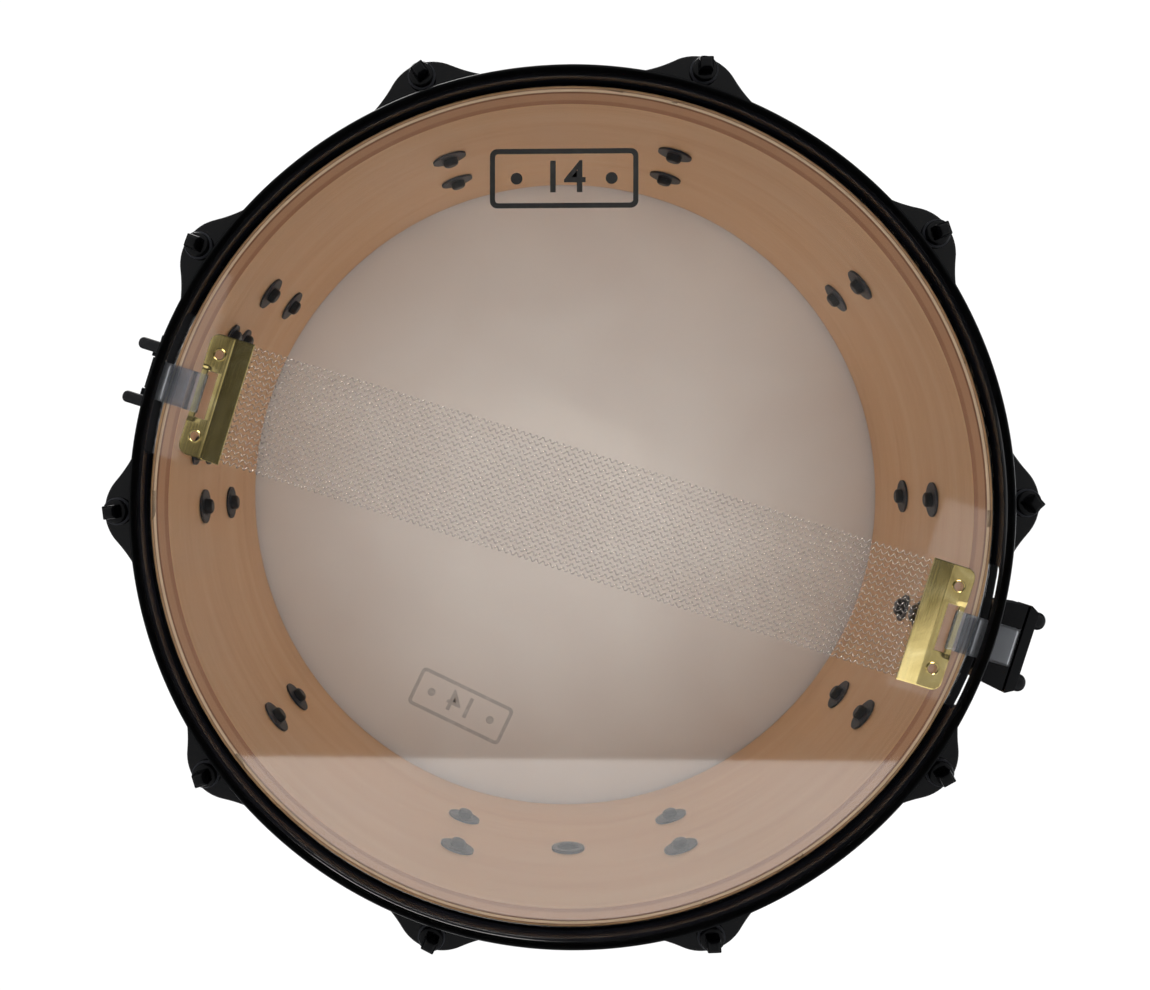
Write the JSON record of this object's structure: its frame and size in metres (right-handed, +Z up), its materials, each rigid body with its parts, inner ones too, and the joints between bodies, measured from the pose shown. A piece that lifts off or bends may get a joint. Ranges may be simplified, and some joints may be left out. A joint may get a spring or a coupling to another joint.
{
  "type": "snare drum",
  "caption": "Maple-shell snare drum with triple-flanged hoops, tension rods and lugs, two heads, coiled snare wires, a throw-off strainer and a butt end.",
  "frame": {"origin": "on the drum's axis, in the plane of the snare-side hoop's lip that it stands on", "axes": "+Z up towards the batter head, +X along the snare wires towards the butt end, strainer at -X"},
  "size_m": [0.4162, 0.4062, 0.185],
  "materials": {
    "maple_ply": "clear satin lacquer over maple ply",
    "black_enamel": "gloss black over rolled steel",
    "black_casting": "gloss black over a casting",
    "black_plating": "black plated",
    "black_rods": "black plated steel",
    "black_screws": "black oxide steel",
    "black_washers": "satin black steel",
    "flesh_hoop_black": "black anodised",
    "coated_film": "textured white coating on film",
    "clear_film": "clear polished film",
    "clear_strap": "clear plastic strap",
    "brass_plate": "bright rolled brass",
    "snare_wire": "bright coiled steel wire",
    "zinc_nut": "zinc plated steel",
    "gasket": "matte black gasket sheet"
  },
  "bodies": {
    "root": {"shell": "maple_ply", "vent_grommet": "black_plating", "batter_hoop": "black_enamel", "snare_hoop": "black_enamel", "batter_head_film": "coated_film", "batter_flesh_hoop": "flesh_hoop_black", "snare_head_film": "clear_film", "snare_flesh_hoop": "flesh_hoop_black", "lug_bodies": "black_casting", "lug_gaskets": "gasket", "lug_screws": "black_screws", "lug_screw_washers": "black_washers", "swivel_nuts": "zinc_nut", "batter_rod_washers": "black_washers", "snare_rod_washers": "black_washers", "snare_strap_butt_drop": "clear_strap", "strainer_base": "black_casting", "strainer_gasket": "gasket", "strainer_mount_screws": "black_screws", "strainer_mount_washers": "black_washers", "strainer_lever_pins": "zinc_nut", "butt_base": "black_casting", "butt_gasket": "gasket", "butt_mount_screws": "black_screws", "butt_mount_washers": "black_washers", "butt_clamp_plate": "black_casting", "butt_clamp_bolts": "black_screws"},
    "lever": {"strainer_lever": "black_casting"},
    "carriage": {"strainer_carriage": "black_casting", "snare_strap_strainer_drop": "clear_strap"},
    "clamp": {"strainer_clamp_block": "black_casting", "strainer_clamp_plate": "black_casting", "strainer_clamp_bolts": "black_screws"},
    "knob": {"strainer_tension_knob": "black_casting", "strainer_tension_screw": "zinc_nut"},
    "snares": {"snare_plate_butt_side": "brass_plate", "snare_plate_strainer_side": "brass_plate", "snare_strands": "snare_wire", "snare_strap_runs": "clear_strap"},
    "batter_tension_rod_01": {"batter_tension_rod_01": "black_rods"},
    "batter_tension_rod_02": {"batter_tension_rod_02": "black_rods"},
    "batter_tension_rod_03": {"batter_tension_rod_03": "black_rods"},
    "batter_tension_rod_04": {"batter_tension_rod_04": "black_rods"},
    "batter_tension_rod_05": {"batter_tension_rod_05": "black_rods"},
    "batter_tension_rod_06": {"batter_tension_rod_06": "black_rods"},
    "batter_tension_rod_07": {"batter_tension_rod_07": "black_rods"},
    "batter_tension_rod_08": {"batter_tension_rod_08": "black_rods"},
    "batter_tension_rod_09": {"batter_tension_rod_09": "black_rods"},
    "batter_tension_rod_10": {"batter_tension_rod_10": "black_rods"},
    "snare_tension_rod_01": {"snare_tension_rod_01": "black_rods"},
    "snare_tension_rod_02": {"snare_tension_rod_02": "black_rods"},
    "snare_tension_rod_03": {"snare_tension_rod_03": "black_rods"},
    "snare_tension_rod_04": {"snare_tension_rod_04": "black_rods"},
    "snare_tension_rod_05": {"snare_tension_rod_05": "black_rods"},
    "snare_tension_rod_06": {"snare_tension_rod_06": "black_rods"},
    "snare_tension_rod_07": {"snare_tension_rod_07": "black_rods"},
    "snare_tension_rod_08": {"snare_tension_rod_08": "black_rods"},
    "snare_tension_rod_09": {"snare_tension_rod_09": "black_rods"},
    "snare_tension_rod_10": {"snare_tension_rod_10": "black_rods"}
  },
  "joints": [
    {"name": "lever_throw", "type": "hinge", "parent": "root", "child": "lever", "pos_m": [-0.2, 0, 0.073], "axis": [0, -1, 0], "range_deg": [0, 90]},
    {"name": "carriage_slide", "type": "slide", "parent": "root", "child": "carriage", "axis": [0, 0, -1], "range_m": [0, 0.005]},
    {"name": "knob_turn", "type": "hinge", "parent": "carriage", "child": "knob", "pos_m": [-0.1866, 0, 0.08], "axis": [0, 0, 1], "range_deg": [0, 1080]},
    {"name": "clamp_slide", "type": "slide", "parent": "carriage", "child": "clamp", "axis": [0, 0, -1], "range_m": [0, 0.0021]},
    {"name": "snares_drop", "type": "hinge", "parent": "carriage", "child": "snares", "pos_m": [-0.1762, 0, 0.0091], "axis": [0, -1, 0], "range_deg": [0, 0.82]},
    {"name": "rod_batter_01_turn", "type": "hinge", "parent": "root", "child": "batter_tension_rod_01", "pos_m": [0.18593, -0.06041, 0.1685], "axis": [0, 0, 1], "continuous": true},
    {"name": "rod_batter_02_turn", "type": "hinge", "parent": "root", "child": "batter_tension_rod_02", "pos_m": [0.18593, 0.06041, 0.1685], "axis": [0, 0, 1], "continuous": true},
    {"name": "rod_batter_03_turn", "type": "hinge", "parent": "root", "child": "batter_tension_rod_03", "pos_m": [0.11491, 0.15816, 0.1685], "axis": [0, 0, 1], "continuous": true},
    {"name": "rod_batter_04_turn", "type": "hinge", "parent": "root", "child": "batter_tension_rod_04", "pos_m": [0, 0.1955, 0.1685], "axis": [0, 0, 1], "continuous": true},
    {"name": "rod_batter_05_turn", "type": "hinge", "parent": "root", "child": "batter_tension_rod_05", "pos_m": [-0.11491, 0.15816, 0.1685], "axis": [0, 0, 1], "continuous": true},
    {"name": "rod_batter_06_turn", "type": "hinge", "parent": "root", "child": "batter_tension_rod_06", "pos_m": [-0.18593, 0.06041, 0.1685], "axis": [0, 0, 1], "continuous": true},
    {"name": "rod_batter_07_turn", "type": "hinge", "parent": "root", "child": "batter_tension_rod_07", "pos_m": [-0.18593, -0.06041, 0.1685], "axis": [0, 0, 1], "continuous": true},
    {"name": "rod_batter_08_turn", "type": "hinge", "parent": "root", "child": "batter_tension_rod_08", "pos_m": [-0.11491, -0.15816, 0.1685], "axis": [0, 0, 1], "continuous": true},
    {"name": "rod_batter_09_turn", "type": "hinge", "parent": "root", "child": "batter_tension_rod_09", "pos_m": [0, -0.1955, 0.1685], "axis": [0, 0, 1], "continuous": true},
    {"name": "rod_batter_10_turn", "type": "hinge", "parent": "root", "child": "batter_tension_rod_10", "pos_m": [0.11491, -0.15816, 0.1685], "axis": [0, 0, 1], "continuous": true},
    {"name": "rod_snare_01_turn", "type": "hinge", "parent": "root", "child": "snare_tension_rod_01", "pos_m": [0.18593, -0.06041, 0.0165], "axis": [0, 0, -1], "continuous": true},
    {"name": "rod_snare_02_turn", "type": "hinge", "parent": "root", "child": "snare_tension_rod_02", "pos_m": [0.18593, 0.06041, 0.0165], "axis": [0, 0, -1], "continuous": true},
    {"name": "rod_snare_03_turn", "type": "hinge", "parent": "root", "child": "snare_tension_rod_03", "pos_m": [0.11491, 0.15816, 0.0165], "axis": [0, 0, -1], "continuous": true},
    {"name": "rod_snare_04_turn", "type": "hinge", "parent": "root", "child": "snare_tension_rod_04", "pos_m": [0, 0.1955, 0.0165], "axis": [0, 0, -1], "continuous": true},
    {"name": "rod_snare_05_turn", "type": "hinge", "parent": "root", "child": "snare_tension_rod_05", "pos_m": [-0.11491, 0.15816, 0.0165], "axis": [0, 0, -1], "continuous": true},
    {"name": "rod_snare_06_turn", "type": "hinge", "parent": "root", "child": "snare_tension_rod_06", "pos_m": [-0.18593, 0.06041, 0.0165], "axis": [0, 0, -1], "continuous": true},
    {"name": "rod_snare_07_turn", "type": "hinge", "parent": "root", "child": "snare_tension_rod_07", "pos_m": [-0.18593, -0.06041, 0.0165], "axis": [0, 0, -1], "continuous": true},
    {"name": "rod_snare_08_turn", "type": "hinge", "parent": "root", "child": "snare_tension_rod_08", "pos_m": [-0.11491, -0.15816, 0.0165], "axis": [0, 0, -1], "continuous": true},
    {"name": "rod_snare_09_turn", "type": "hinge", "parent": "root", "child": "snare_tension_rod_09", "pos_m": [0, -0.1955, 0.0165], "axis": [0, 0, -1], "continuous": true},
    {"name": "rod_snare_10_turn", "type": "hinge", "parent": "root", "child": "snare_tension_rod_10", "pos_m": [0.11491, -0.15816, 0.0165], "axis": [0, 0, -1], "continuous": true}
  ],
  "couplings": [
    {"joint": "carriage_slide", "follows": "lever_throw", "m_per_rad": 0.0031831},
    {"joint": "snares_drop", "follows": "lever_throw", "ratio": 0.0090326},
    {"joint": "knob_turn", "follows": "clamp_slide", "rad_per_m": 8976}
  ]
}
